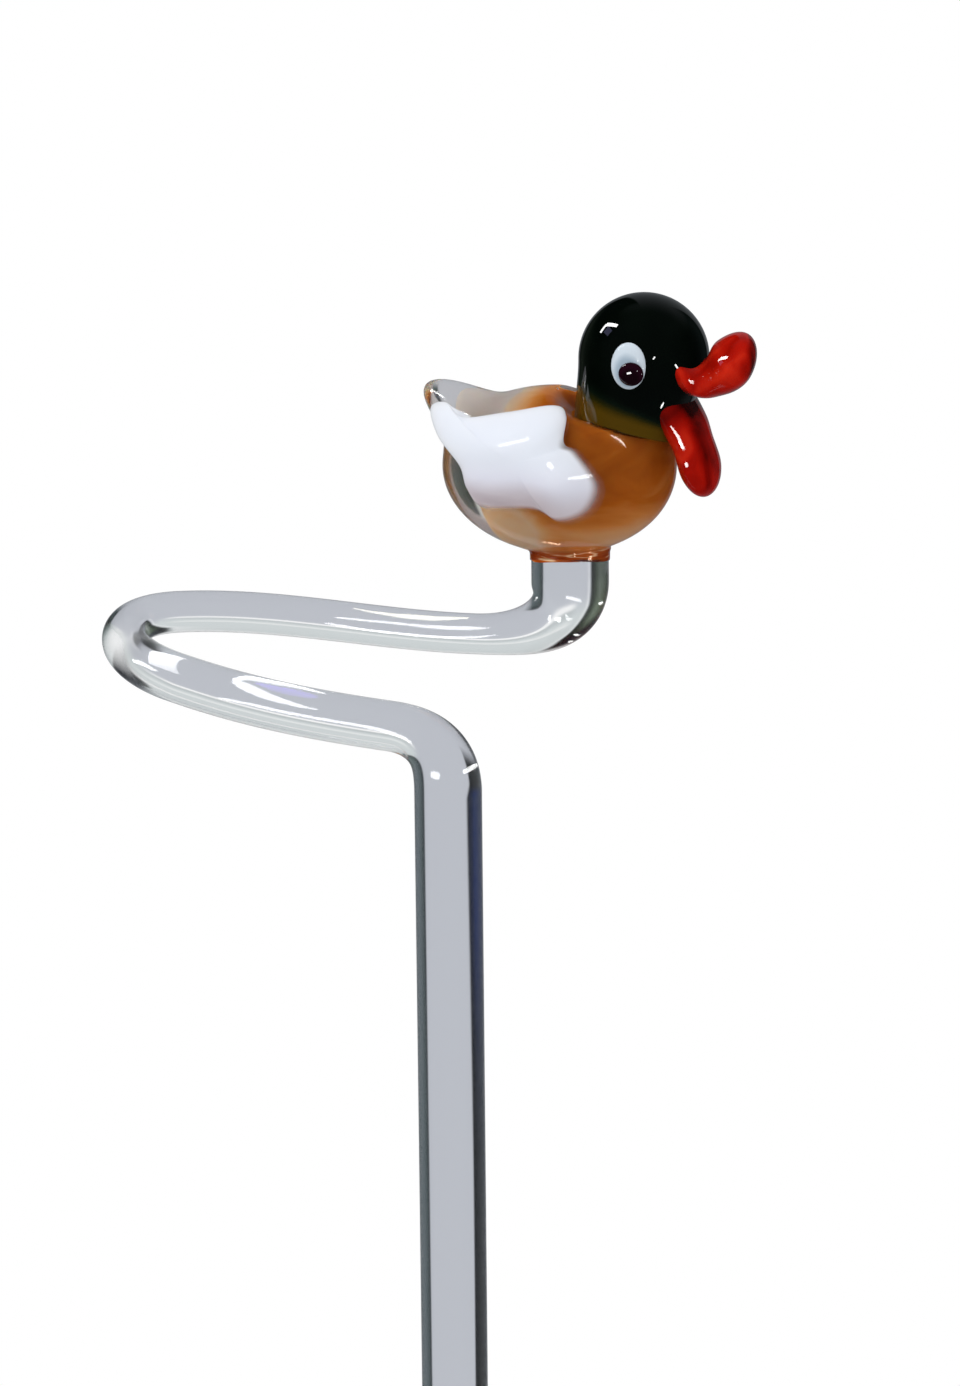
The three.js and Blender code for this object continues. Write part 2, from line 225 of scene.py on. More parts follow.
screenShare = addNode(sky, "ShaderNodeMapRange", {
    "Value": steep, "From Min": 0.45, "From Max": 0.7, "To Min": 1.0, "To Max": 0.0}).outputs[0]
leftReach = setStops(addNode(sky, "ShaderNodeValToRGB", {0: riseShare}), [
    (0.185, "000000"), (0.25, "FFFFFF"), (0.90, "FFFFFF"), (0.985, "000000")]).outputs[0]
leftShare = addNode(sky, "ShaderNodeMath", {0: leftCover, 1: leftReach}, operation="MULTIPLY").outputs[0]
leftPaint = addNode(sky, "ShaderNodeMix", {
    0: 1.0, 6: leftTone, 7: leftLevel}, data_type="RGBA", blend_type="MULTIPLY").outputs[2]


# both side screens laid over a colour of the room
def screenOff(colour):
    right = addNode(sky, "ShaderNodeMix", {
        0: screenShare, 6: colour, 7: rightScreen}, data_type="RGBA", blend_type="MULTIPLY").outputs[2]
    return addNode(sky, "ShaderNodeMix", {
        0: leftShare, 6: right, 7: leftPaint}, data_type="RGBA", blend_type="MULTIPLY").outputs[2]


# bright line beside the left screen, then what glass shows through it and what it mirrors
screened = screenOff(lowWall)
rimLine = setStops(addNode(sky, "ShaderNodeValToRGB", {0: leftTurn}), [
    (0.418, "000000"), (0.42, "C0C0C0"), (0.423, "C0C0C0"), (0.427, "000000")]).outputs[0]
rimReach = addNode(sky, "ShaderNodeMapRange", {
    "Value": rise, "From Min": -0.26, "From Max": -0.20}).outputs[0]
rimLine = addNode(sky, "ShaderNodeMath", {0: rimLine, 1: rimReach}, operation="MULTIPLY").outputs[0]
screened = addNode(sky, "ShaderNodeMix", {
    0: rimLine, 6: screened, 7: linear("FFFFFF")}, data_type="RGBA").outputs[2]
through = addNode(sky, "ShaderNodeMix", {
    0: ceilingShare, 6: screened, 7: linear(studio["ceiling"])}, data_type="RGBA").outputs[2]
depthShare = addNode(sky, "ShaderNodeMapRange", {
    "Value": axes.outputs["Y"], "From Min": 0.1, "From Max": 1.0},
    interpolation_type="SMOOTHSTEP").outputs[0]
mirrored = addNode(sky, "ShaderNodeMix", {
    0: depthShare, 6: linear(studio["front"]), 7: linear(studio["back"])}, data_type="RGBA").outputs[2]
mirrored = screenOff(mirrored)
softLight = addNode(sky, "ShaderNodeMapRange", {
    "Value": rise, "From Min": -1.0, "From Max": 1.0,
    "To Min": studio["lightLow"], "To Max": studio["lightHigh"]}).outputs[0]
path = addNode(sky, "ShaderNodeLightPath")
seen = addNode(sky, "ShaderNodeMix", {
    0: path.outputs["Is Transmission Ray"], 6: mirrored, 7: through}, data_type="RGBA").outputs[2]
direct = addNode(sky, "ShaderNodeMath", {
    0: path.outputs["Diffuse Depth"], 1: 0.5}, operation="LESS_THAN").outputs[0]
glossy = addNode(sky, "ShaderNodeMath", {
    0: path.outputs["Is Glossy Ray"], 1: direct}, operation="MULTIPLY").outputs[0]
lit = addNode(sky, "ShaderNodeMix", {0: glossy, 6: softLight, 7: seen}, data_type="RGBA").outputs[2]
shown = addNode(sky, "ShaderNodeMix", {
    0: path.outputs["Is Camera Ray"], 6: lit, 7: linear("FFFFFF")}, data_type="RGBA").outputs[2]
background = addNode(sky, "ShaderNodeBackground", {"Color": shown, "Strength": 1.0})
addNode(sky, "ShaderNodeOutputWorld", {"Surface": background.outputs[0]})
print("made studio")


# lit rectangle along an edge, turned to a place, with its glow in white levels and half its beam's angle;
# a mirrored lamp shows as a highlight only
def layLamp(name, middle, edge, thick, facing, glow, half=math.pi / 2, mirrored=True, colour="FFFFFF",
            only=None):
    data = bpy.data.lights.new(name, "AREA")
    data.shape = "RECTANGLE"
    data.size, data.size_y = edge.length, thick
    data.spread = 2 * half
    data.energy = glow * math.pi * data.size * data.size_y * (1 - half / math.tan(half))
    data.color = linear(colour)[:3]
    lamp = addObject(name, data)
    back = (middle - facing).normalized()
    over = back.cross(edge).normalized()
    lamp.matrix_world = axesMatrix(over.cross(back), over, back, middle)
    lamp.visible_camera = lamp.visible_transmission = False
    lamp.visible_diffuse = not mirrored
    lamp.visible_glossy = mirrored
    if only:
        lamp.light_linking.receiver_collection = lampSets[only]


# far strip between two directions seen from a place in mm
def addLamp(name, startWay, endWay, thick, glow, aim=(20, 12, 488), distance=0.6, **settings):
    start, end = (Vector(way).normalized() * distance for way in (startWay, endWay))
    aim = Vector(aim) * mm
    layLamp(name, aim + (start + end) / 2, end - start, thick, aim, glow, **settings)


addLamp("softTop", (-0.75, -0.3, 0.6), (-0.15, -0.3, 0.95), 0.5, 1.6, mirrored=False)
addLamp("windowTop", (-0.73, 0.283, 0.623), (-0.627, -0.054, 0.778), 0.05, 30, only="duck")
addLamp("windowSide", (-0.845, 0.265, 0.464), (-0.73, 0.283, 0.623), 0.045, 22, only="duck")
addLamp("windowPane", (-0.83, 0.05, 0.52), (-0.74, 0.05, 0.66), 0.14, 1.2, colour="C8C8FF", only="duck")
addLamp("leftFront", (-0.58, -0.80, -0.14), (-0.29, -0.93, -0.05), 0.09, 26, only="face")
addLamp("nearCamera", (0.24, -0.96, 0.12), (0.30, -0.94, 0.20), 0.025, 26, only="face")
addLamp("rightFront", (0.80, -0.58, -0.08), (0.85, -0.50, -0.20), 0.03, 26, only="face")
addLamp("wingBroad", (-0.71, -0.40, 0.578), (-0.30, -0.42, 0.856), 0.09, 7, aim=(10, 7, 478), only="wing")

# pale floor that fades into the white
floorValues = {"radius": 0.8, "sides": 96, "colour": "F1F1EF", "dull": "EFEFED",
               "fade": (0.35, 0.75), "grain": 4.0}
floorMaterial, tree, output, floorPlace = newMaterial("matt_painted_board")  # soft white, hardly any texture
floorNoise = addNode(tree, "ShaderNodeTexNoise", {
    "Vector": floorPlace, "Scale": 1 / (floorValues["grain"] * mm), "Detail": 3.0})
floorTint = setStops(addNode(tree, "ShaderNodeValToRGB", {0: floorNoise.outputs[0]}), [
    (0.3, floorValues["dull"]), (0.7, floorValues["colour"])])
floorPaint = addNode(tree, "ShaderNodeBsdfPrincipled", {"Base Color": floorTint.outputs[0], "Roughness": 0.8})
floorReach = addNode(tree, "ShaderNodeVectorMath", {0: floorPlace}, operation="LENGTH").outputs["Value"]
floorFade = addNode(tree, "ShaderNodeMapRange", {
    "Value": floorReach, "From Min": floorValues["fade"][0], "From Max": floorValues["fade"][1]},
    interpolation_type="SMOOTHSTEP").outputs[0]
floorClear = addNode(tree, "ShaderNodeBsdfTransparent")
floorMix = addNode(tree, "ShaderNodeMixShader", {
    0: floorFade, 1: floorPaint.outputs[0], 2: floorClear.outputs[0]})
tree.links.new(floorMix.outputs[0], output.inputs["Surface"])
floorMesh = bpy.data.meshes.new("floor")
floorTurns = around(floorValues["sides"])
floorEdge = floorValues["radius"] * np.stack([np.cos(floorTurns), np.sin(floorTurns), 0 * floorTurns], -1)
floorMesh.from_pydata(floorEdge.tolist(), [], [list(range(len(floorEdge)))])
floorMesh.materials.append(floorMaterial)
floor = addObject("floor", floorMesh)
floor.visible_glossy = floor.visible_transmission = False


# clear soda glass, drawn and flame worked: bright, with a cold grey tint in its depth
def clearGlass(name, tint, density):
    material, tree, output, place = newMaterial(name)
    draw = addNode(tree, "ShaderNodeTexNoise", {"Vector": place, "Scale": 1 / (6 * mm), "Detail": 1.0})
    sheen = addNode(tree, "ShaderNodeMapRange", {
        "Value": draw.outputs[0], "To Min": 0.09, "To Max": 0.13}).outputs[0]
    glass = addNode(tree, "ShaderNodeBsdfPrincipled", {
        "Base Color": linear("FFFFFF"), "Roughness": sheen, "IOR": 1.5, "Transmission Weight": 1.0})
    depth = addNode(tree, "ShaderNodeVolumeAbsorption", {"Color": linear(tint), "Density": density})
    tree.links.new(glass.outputs[0], output.inputs["Surface"])
    tree.links.new(depth.outputs[0], output.inputs["Volume"])
    return material


rodGlass = clearGlass("drawn_clear_glass", "D5E0E4", 12.0)
casingGlass = clearGlass("flame_worked_clear_glass", "D8CBB4", 32.0)


# ramp colour of a field on the piece, clouded by noise with a grain in mm
def cloudedTone(tree, place, grain, share, fieldName, stops, detail=2.0, distortion=0.0):
    cloud = addNode(tree, "ShaderNodeTexNoise", {
        "Vector": place, "Scale": 1 / (grain * mm), "Detail": detail, "Distortion": distortion})
    field = addNode(tree, "ShaderNodeAttribute", attribute_name=fieldName).outputs["Fac"]
    mixed = addNode(tree, "ShaderNodeMath", {
        0: cloud.outputs[0], 1: share, 2: field}, operation="MULTIPLY_ADD").outputs[0]
    return setStops(addNode(tree, "ShaderNodeValToRGB", {0: mixed}), stops).outputs[0]


# amber opal glass: no gloss of its own, paler where it thins towards the rump, with painted light on the
# belly and the front, painted brown shade low at the rump, copper with painted highlight streaks in the foot,
# and brighter here than it looks, since the casing throws part of its light back
def amberGlass():
    material, tree, output, place = newMaterial("cased_amber_opal_glass")
    stretched = addNode(tree, "ShaderNodeVectorMath", {
        0: place, 1: (0.8, 1, 2)}, operation="MULTIPLY").outputs[0]
    tone = cloudedTone(tree, stretched, 8, 0.4, "thinVeilAndPaintedLight", [
        (0.1, "AC5610"), (0.3, "CC701E"), (0.5, "E6964C"), (0.72, "F0BC88"), (0.95, "EED6B8"),
        (1.0, "E4DCD6")], detail=4.0, distortion=1.6)
    level = addNode(tree, "ShaderNodeVectorMath", {
        0: place, 1: (0.35, 0.35, 2.5)}, operation="MULTIPLY").outputs[0]
    # the foot's copper, streaked with painted highlights by the ramp's bright stop
    streak = addNode(tree, "ShaderNodeTexNoise", {"Vector": level, "Scale": 1 / (1.6 * mm), "Detail": 2.0})
    copperWithPaintedGlints = setStops(addNode(tree, "ShaderNodeValToRGB", {0: streak.outputs[0]}), [
        (0.30, "8A3208"), (0.48, "B04A14"), (0.58, "C0602A"), (0.64, "FFDCB0"), (0.70, "C4662C")])
    foot = addNode(tree, "ShaderNodeAttribute", attribute_name="foot").outputs["Fac"]
    paintedRumpShade = addNode(tree, "ShaderNodeAttribute", attribute_name="paintedRumpShade").outputs["Fac"]
    # painted shade: brown low at the rump
    toneWithPaintedShade = addNode(tree, "ShaderNodeMix", {
        0: paintedRumpShade, 6: tone, 7: linear("80694A")}, data_type="RGBA")
    paint = addNode(tree, "ShaderNodeMix", {
        0: foot, 6: toneWithPaintedShade.outputs[2], 7: copperWithPaintedGlints.outputs[0]}, data_type="RGBA")
    amber = addNode(tree, "ShaderNodeBsdfPrincipled", {
        "Base Color": paint.outputs[2], "Roughness": 0.5, "Specular IOR Level": 0.0,
        "Subsurface Weight": 0.25, "Subsurface Radius": (1.0, 0.5, 0.2), "Subsurface Scale": 2 * mm})
    tree.links.new(amber.outputs[0], output.inputs["Surface"])
    return material


# white opal glass: milky, bluish, clearer where it thins to its edge, greyer and pinker low down, partly
# where it thins over the amber and partly painted shade
def opalGlass():
    material, tree, output, place = newMaterial("white_opal_glass")
    tone = cloudedTone(tree, place, 4.5, 0.12, "low", [
        (0.0, "E4E9F2"), (0.4, "DCDDE8"), (0.75, "C9C1C8"), (1.0, "BEB1B7")])
    rim = addNode(tree, "ShaderNodeAttribute", attribute_name="rim").outputs["Fac"]
    cover = addNode(tree, "ShaderNodeMapRange", {
        "Value": rim, "From Min": 0.3, "From Max": 1.0, "To Min": 1.0, "To Max": 0.02},
        interpolation_type="SMOOTHSTEP").outputs[0]
    opal = addNode(tree, "ShaderNodeBsdfPrincipled", {
        "Base Color": tone, "Roughness": 0.06, "IOR": 1.5, "Alpha": cover,
        "Subsurface Weight": 0.5, "Subsurface Radius": (1.0, 0.95, 0.95), "Subsurface Scale": 2.0 * mm})
    tree.links.new(opal.outputs[0], output.inputs["Surface"])
    return material


# dark green glass, almost black where thick and olive where the neck runs out thin
def greenGlass():
    material, tree, output, place = newMaterial("dark_green_glass")
    tone = cloudedTone(tree, place, 3.5, 0.14, "skirt", [
        (0.05, "020503"), (0.35, "08110A"), (0.6, "222006"), (0.82, "3E2F06"), (1.0, "4C3808")])
    green = addNode(tree, "ShaderNodeBsdfPrincipled", {"Base Color": tone, "Roughness": 0.03, "IOR": 1.5})
    tree.links.new(green.outputs[0], output.inputs["Surface"])
    return material


# red glass: deep, slightly streaked, with a wet gloss, and darker by the painted shade that the bills carry
def redGlass():
    material, tree, output, place = newMaterial("red_glass")
    streak = addNode(tree, "ShaderNodeTexNoise", {
        "Vector": place, "Scale": 1 / (4 * mm), "Detail": 2.0, "Distortion": 0.8})
    shade = addNode(tree, "ShaderNodeAttribute", attribute_name="shade").outputs["Fac"]
    mixed = addNode(tree, "ShaderNodeMath", {
        0: shade, 1: -0.5, 2: streak.outputs[0]}, operation="MULTIPLY_ADD")
    tone = setStops(addNode(tree, "ShaderNodeValToRGB", {0: mixed.outputs[0]}), [
        (0.0, "2C0302"), (0.3, "860903"), (0.5, "A81307"), (0.7, "C82814")])
    red = addNode(tree, "ShaderNodeBsdfPrincipled", {
        "Base Color": tone.outputs[0], "Roughness": 0.04, "IOR": 1.5,
        "Subsurface Weight": 0.1, "Subsurface Radius": (1.0, 0.2, 0.1), "Subsurface Scale": 1.0 * mm})
    tree.links.new(red.outputs[0], output.inputs["Surface"])
    return material


# white eye glass, bluer in its middle, and the near black dot on it
def eyeGlass(name, dark, pale):
    material, tree, output, place = newMaterial(name)
    tone = cloudedTone(tree, place, 1.6, 0.3, "edge", [(0.2, dark), (0.9, pale)])
    eye = addNode(tree, "ShaderNodeBsdfPrincipled", {"Base Color": tone, "Roughness": 0.04, "IOR": 1.5})
    tree.links.new(eye.outputs[0], output.inputs["Surface"])
    return material


amberMaterial, opalMaterial, greenMaterial, redMaterial = amberGlass(), opalGlass(), greenGlass(), redGlass()
eyeMaterial = eyeGlass("eye_opal_glass", "A2B3C2", "CCD7E1")
pupilMaterial = eyeGlass("aubergine_glass", "120309", "1E0612")
print("made materials")

# stake rod: a circle of changing radius carried along lines and Bezier curves, foot to riser top
rod = {"stake": 7.1, "corner": 450.6, "footFlat": 5.0, "nearArm": 5.3, "turn": 4.5, "farArm": 4.4,
       "riser": 8.3, "elbowRun": 6.2, "reach": 34.6, "turnRun": 5.6, "nearBack": 9.0, "nearRise": 4.3,
       "farBack": 22.0, "farRise": 8.35, "riserAt": (13.2, 16.0), "riserCorner": 6.5, "bendRun": 10.2,
       "bendRise": 6.2, "riserHeight": 16.2, "sides": 112, "nearWay": (-1, 0.24, 0.1),
       "turnInWay": (-1, 0.5, 0.24), "turnOutWay": (1, 0.06, 0.02), "bendWay": (1, -0.2, 0),
       "neverAlong": (0.3, -1.0, 0.6)}


# Bezier curve by its Bernstein sum, with its direction
def bezier(points, t):
    points = np.asarray(points, float)
    order = len(points) - 1
    weights = np.stack([math.comb(order, i) * t ** i * (1 - t) ** (order - i) for i in range(order + 1)], -1)
    slopes = np.stack([
        math.comb(order - 1, i) * t ** i * (1 - t) ** (order - 1 - i) for i in range(order)], -1)
    return weights @ points, unit(order * slopes @ np.diff(points, axis=0))


def makeRod():
    high = rod["corner"]
    corner = np.array([0, 0, high])
    nearWay = unit(np.array(rod["nearWay"]))
    elbowStart, elbowEnd = corner - [0, 0, rod["elbowRun"]], corner + nearWay * rod["elbowRun"]
    turnStart = np.array([rod["turnRun"] - rod["reach"], rod["nearBack"], high + rod["nearRise"]])
    turnEnd = np.array([rod["turnRun"] - rod["reach"], rod["farBack"], high + rod["farRise"]])
    inWay, outWay, bendWay = (np.array(rod[key]) for key in ("turnInWay", "turnOutWay", "bendWay"))
    pull = rod["turnRun"] / 0.75  # the curve's middle reaches three quarters of its pull
    riserCorner = np.array([*rod["riserAt"], high + rod["riserCorner"]])
    bendStart, bendEnd = riserCorner - bendWay * rod["bendRun"], riserCorner + [0, 0, rod["bendRise"]]
    riserEnd = np.array([*rod["riserAt"], high + rod["riserHeight"]])
    nearPull = np.linalg.norm(turnStart - elbowEnd) / 3
    farPull = np.linalg.norm(bendStart - turnEnd) / 3
    footEdge = (rod["stake"] - rod["footFlat"]) / 2
    stretches = [
        ([(0, 0, footEdge), elbowStart], 90, "stake", "stake"),
        ([elbowStart, corner, elbowEnd], 80, "stake", "nearArm"),
        ([elbowEnd, elbowEnd + nearWay * nearPull, turnStart - inWay * nearPull, turnStart], 110,
         "nearArm", "nearArm"),
        ([turnStart, turnStart + inWay * pull, turnEnd - outWay * pull, turnEnd], 150, "nearArm", "turn"),
        ([turnEnd, turnEnd + outWay * farPull, bendStart - bendWay * farPull, bendStart], 130,
         "turn", "farArm"),
        ([bendStart, riserCorner, bendEnd], 100, "farArm", "riser"),
        ([bendEnd, riserEnd], 30, "riser", "riser")]
    polish = steps(12, 0, np.pi / 2)[:-1]  # quarter round at the foot
    centres = [np.stack([0 * polish, 0 * polish, footEdge * (1 - np.cos(polish))], -1)]
    ways = [np.tile([0.0, 0, 1], (len(polish), 1))]
    radii = [rod["footFlat"] / 2 + footEdge * np.sin(polish)]
    for points, count, fromName, toName in stretches:
        t = steps(count + 1)[(0 if fromName == toName == "stake" else 1):]
        centre, way = bezier(points, t)
        centres.append(centre)
        ways.append(way)
        radii.append((rod[fromName] + (rod[toName] - rod[fromName]) * smoothStep(t, 0, 1)) / 2)
    centres, ways, radii = np.concatenate(centres), np.concatenate(ways), np.concatenate(radii)
    across = unit(np.cross(ways, rod["neverAlong"]))
    turns = around(rod["sides"])[:, None]
    circle = np.cos(turns) * across[:, None] + np.sin(turns) * np.cross(ways, across)[:, None]
    rings = centres[:, None] + radii[:, None, None] * circle
    closedSkin("stakeRod", rings, [(0, 0, 0), centres[-1]], rodGlass, "clear_glass", ["stake_rod"])


makeRod()

# duck: local x to its front, y to its left, z up from the foot, then turned and set on the riser
duck = {"foot": (13.2, 16.0, 466.15), "turn": -23.0, "bodyHalf": (12.75, 9.2, 8.95),
        "bodyCentre": (-1.35, 0, 9.25), "headCentre": (8.5, 0, 21.85), "headRadius": 6.9}
duckTurn = math.radians(duck["turn"])
duckAxes = np.array([
    [math.cos(duckTurn), math.sin(duckTurn), 0], [-math.sin(duckTurn), math.cos(duckTurn), 0], [0, 0, 1]])
bodyHalf, bodyCentre, headCentre = (np.array(duck[key]) for key in ("bodyHalf", "bodyCentre", "headCentre"))


def setDuck(points):
    return np.asarray(points, float) @ duckAxes + np.array(duck["foot"])


# directions on a ball in level rings from the bottom up, closer together near the foot
def ballWays(rows, columns):
    lift = steps(rows + 2)[1:-1]
    polar = np.pi * (0.55 * lift + 0.45 * lift ** 2)
    turns = around(columns)
    return np.stack([
        np.sin(polar)[:, None] * np.cos(turns), np.sin(polar)[:, None] * np.sin(turns),
        -np.cos(polar)[:, None] * np.ones(columns)], -1)


# how far a ray from the body's centre runs inside the round column below, a cylinder cut level at its foot
def columnReach(ways, centre, radius, footHeight, drip):
    level = unit(ways * [1, 1, 0] + [0, 0, 1e-9])
    sideways = level[..., 0] * math.cos(duckTurn) - level[..., 1] * math.sin(duckTurn)
    footHeight = footHeight - drip * sideways ** 2
    flat = np.maximum(np.hypot(ways[..., 0], ways[..., 1]), 1e-9)
    along = centre[0] * ways[..., 0] / flat
    wall = (np.sqrt(along ** 2 + radius ** 2 - centre[0] ** 2) - along) / flat
    bottom = (centre[2] - footHeight) / np.maximum(-ways[..., 2], 1e-9)
    return np.where(ways[..., 2] < 0, np.minimum(wall, bottom), 0)


# greater of two reaches with a rounded inside corner
def filletMax(first, second, fillet):
    return 0.5 * (first + second + np.sqrt((first - second) ** 2 + fillet ** 2))


# seam of the neck on the body: its height, tilted down to the front and lifted at the sides
seat = {"middle": (7.0, 0.0), "radius": 5.9, "height": 14.5, "tilt": 0.16, "sideLift": 0.9, "spread": 3.2,
        "inset": 0.4, "liftHeights": (9.5, 12.5)}


def seamHeight(x, y):
    lift = seat["sideLift"] * np.minimum(1, np.abs(y) / seat["radius"]) ** 2
    return seat["height"] - seat["tilt"] * (x - seat["middle"][0]) + lift


# upper surface eased up or down to the seam round the neck, or to so much below it
def sinkNeck(points, below):
    reach = np.hypot(points[..., 0] - seat["middle"][0], points[..., 1] - seat["middle"][1])
    share = 1 - smoothStep(reach, seat["radius"] - seat["inset"], seat["radius"] + seat["spread"])
    rise = seamHeight(points[..., 0], points[..., 1]) - below - points[..., 2]
    points[..., 2] += rise * share * np.where(rise > 0, smoothStep(points[..., 2], *seat["liftHeights"]), 1)
    return points


# clear casing: ellipsoid radius plus a Gaussian tail and a Gaussian chest along their directions, with a
# round foot and a low Gaussian bead round it
casing = {"tailAngle": 29.0, "tailLength": 5.75, "tailWidth": 7.0, "tailThickness": 5.0, "chestAngle": 36.0,
          "chestRise": 1.6, "chestSpread": 28.0, "footRadius": 4.27, "footHeight": 0.35, "drip": 0.8,
          "fillet": 0.4, "bead": (0.75, 0.08, 0.22), "beadOut": 6.0, "grid": (320, 260)}


def makeCasing():
    ways = ballWays(*casing["grid"])
    tailTilt, chestTilt = math.radians(casing["tailAngle"]), math.radians(casing["chestAngle"])
    tailWay = np.array([-math.cos(tailTilt), 0, math.sin(tailTilt)])
    topWay = np.array([math.sin(tailTilt), 0, math.cos(tailTilt)])
    chestWay = np.array([math.cos(chestTilt), 0, math.sin(chestTilt)])
    away = np.arccos(np.clip(ways @ tailWay, -1, 1))
    beside, above = ways[..., 1], ways @ topWay
    flat = np.hypot(beside / casing["tailWidth"], above / casing["tailThickness"])
    flat /= np.maximum(np.hypot(beside, above), 1e-9)
    tail = casing["tailLength"] * np.exp(-(away * 2 * bodyHalf[0] * flat) ** 2)
    toChest = np.degrees(np.arccos(np.clip(ways @ chestWay, -1, 1)))
    chest = casing["chestRise"] * np.exp(-(toChest / casing["chestSpread"]) ** 2)
    radius = 1 / np.linalg.norm(ways / bodyHalf, axis=-1)
    column = columnReach(ways, bodyCentre, casing["footRadius"], casing["footHeight"], casing["drip"])
    reach = filletMax(radius + tail + chest, column, casing["fillet"])
    points = sinkNeck(bodyCentre + ways * reach[..., None], 0.0)
    out = np.hypot(points[..., 0], points[..., 1])
    at, height, width = casing["bead"]  # only near the foot
    bead = height * np.exp(-((points[..., 2] - at) / width) ** 2)
    points[..., :2] *= (1 + bead / np.maximum(out, 1) * smoothStep(casing["beadOut"] - out, 0, 1))[..., None]
    tips = [(bodyCentre[0], 0, casing["footHeight"]), (bodyCentre[0], 0, bodyCentre[2] + bodyHalf[2])]
    closedSkin("clearCasing", setDuck(points), setDuck(tips), casingGlass, "casing_glass", ["clear_casing"])


makeCasing()

# amber core: ellipsoid radius plus Gaussian swellings to the neck and the tail, and a round column down to
# the riser
core = {"half": (9.3, 7.4, 8.2), "centre": (0.9, 0, 9.2), "neckAngle": 52.0, "neckRise": 2.2,
        "neckSpread": 38.0, "tailAngle": 27.0, "tailRise": 6.0, "tailSpread": 13.5, "footRadius": 4.21,
        "footHeight": 0.38, "drip": 0.8, "fillet": 0.4, "sink": 0.5, "grid": (200, 200)}
# where the core turns paler (thinning towards the rump, painted light low down and at the front), darker
# (painted shade low at the rump) or copper with painted highlight streaks, in mm on the duck
coreTones = {"lowTop": 9.0, "columnOut": (4.4, 6.5), "lowToRear": 2.5, "rearRun": 7.0,
             "paleHeights": (9.0, 13.0), "frontRun": (5.0, 9.5), "paintedShadeRun": (7.0, 8.6),
             "paintedShadeHeights": (7.0, 11.0), "footTop": 1.7, "footFade": 0.9, "footOut": 5.2, "footRim": 0.6}


def makeCore():
    ways = ballWays(*core["grid"])
    half, centre = np.array(core["half"]), np.array(core["centre"])
    neckTilt = math.radians(core["neckAngle"])
    toNeck = np.degrees(np.arccos(np.clip(ways @ [math.cos(neckTilt), 0, math.sin(neckTilt)], -1, 1)))
    swell = core["neckRise"] * np.exp(-(toNeck / core["neckSpread"]) ** 2)
    tailTilt = math.radians(core["tailAngle"])
    toTail = np.degrees(np.arccos(np.clip(ways @ [-math.cos(tailTilt), 0, math.sin(tailTilt)], -1, 1)))
    swell = swell + core["tailRise"] * np.exp(-(toTail / core["tailSpread"]) ** 2)
    column = columnReach(ways, centre, core["footRadius"], core["footHeight"], core["drip"])
    reach = filletMax(1 / np.linalg.norm(ways / half, axis=-1) + swell, column, core["fillet"])
    points = sinkNeck(centre + ways * reach[..., None], core["sink"])
    ahead, height, out = points[..., 0], points[..., 2], np.hypot(points[..., 0], points[..., 1])
    # paler low down: painted light from below, less of it on the foot's column
    low = smoothStep(coreTones["lowTop"] - height, 0, coreTones["lowTop"])
    low = low * (0.5 + 0.5 * smoothStep(out, *coreTones["columnOut"]))
    rear = smoothStep(-ahead + coreTones["lowToRear"] * low, 0, coreTones["rearRun"])
    most = 0.6 + 0.4 * smoothStep(height, *coreTones["paleHeights"])
    # paleness where the glass thins towards the rump, plus painted light low down and at the front
    thinVeilAndPaintedLight = np.minimum(0.66 * low + 0.9 * rear + 0.08 * smoothStep(ahead, *coreTones["frontRun"]), most)
    # painted shade: brown low at the rump, fading out upwards
    paintedRumpShade = 0.85 * smoothStep(-ahead, *coreTones["paintedShadeRun"])
    paintedRumpShade = paintedRumpShade * (1 - smoothStep(height, *coreTones["paintedShadeHeights"]))
    # copper foot ring, which carries the painted highlight streaks
    foot = smoothStep(coreTones["footTop"] - height, 0, coreTones["footFade"])
    foot = foot * smoothStep(coreTones["footOut"] - out, 0, coreTones["footRim"])
    tips = [(centre[0], 0, core["footHeight"]), (centre[0], 0, centre[2] + half[2])]
    closedSkin("amberCore", setDuck(points), setDuck(tips), amberMaterial, "amber_glass", ["amber_core"],
               {"thinVeilAndPaintedLight": thinVeilAndPaintedLight, "foot": foot, "paintedRumpShade": paintedRumpShade})


makeCore()

# head: circles from the tilted seam up to the level middle, then a half ball
head = {"neckRadius": 5.9, "neckDrop": 8.0, "neckShift": 1.5, "skirtDrop": 7.4, "set": 0.3,
        "oliveSide": 3.4, "oliveLoss": 2.4, "oliveLeast": 1.0}


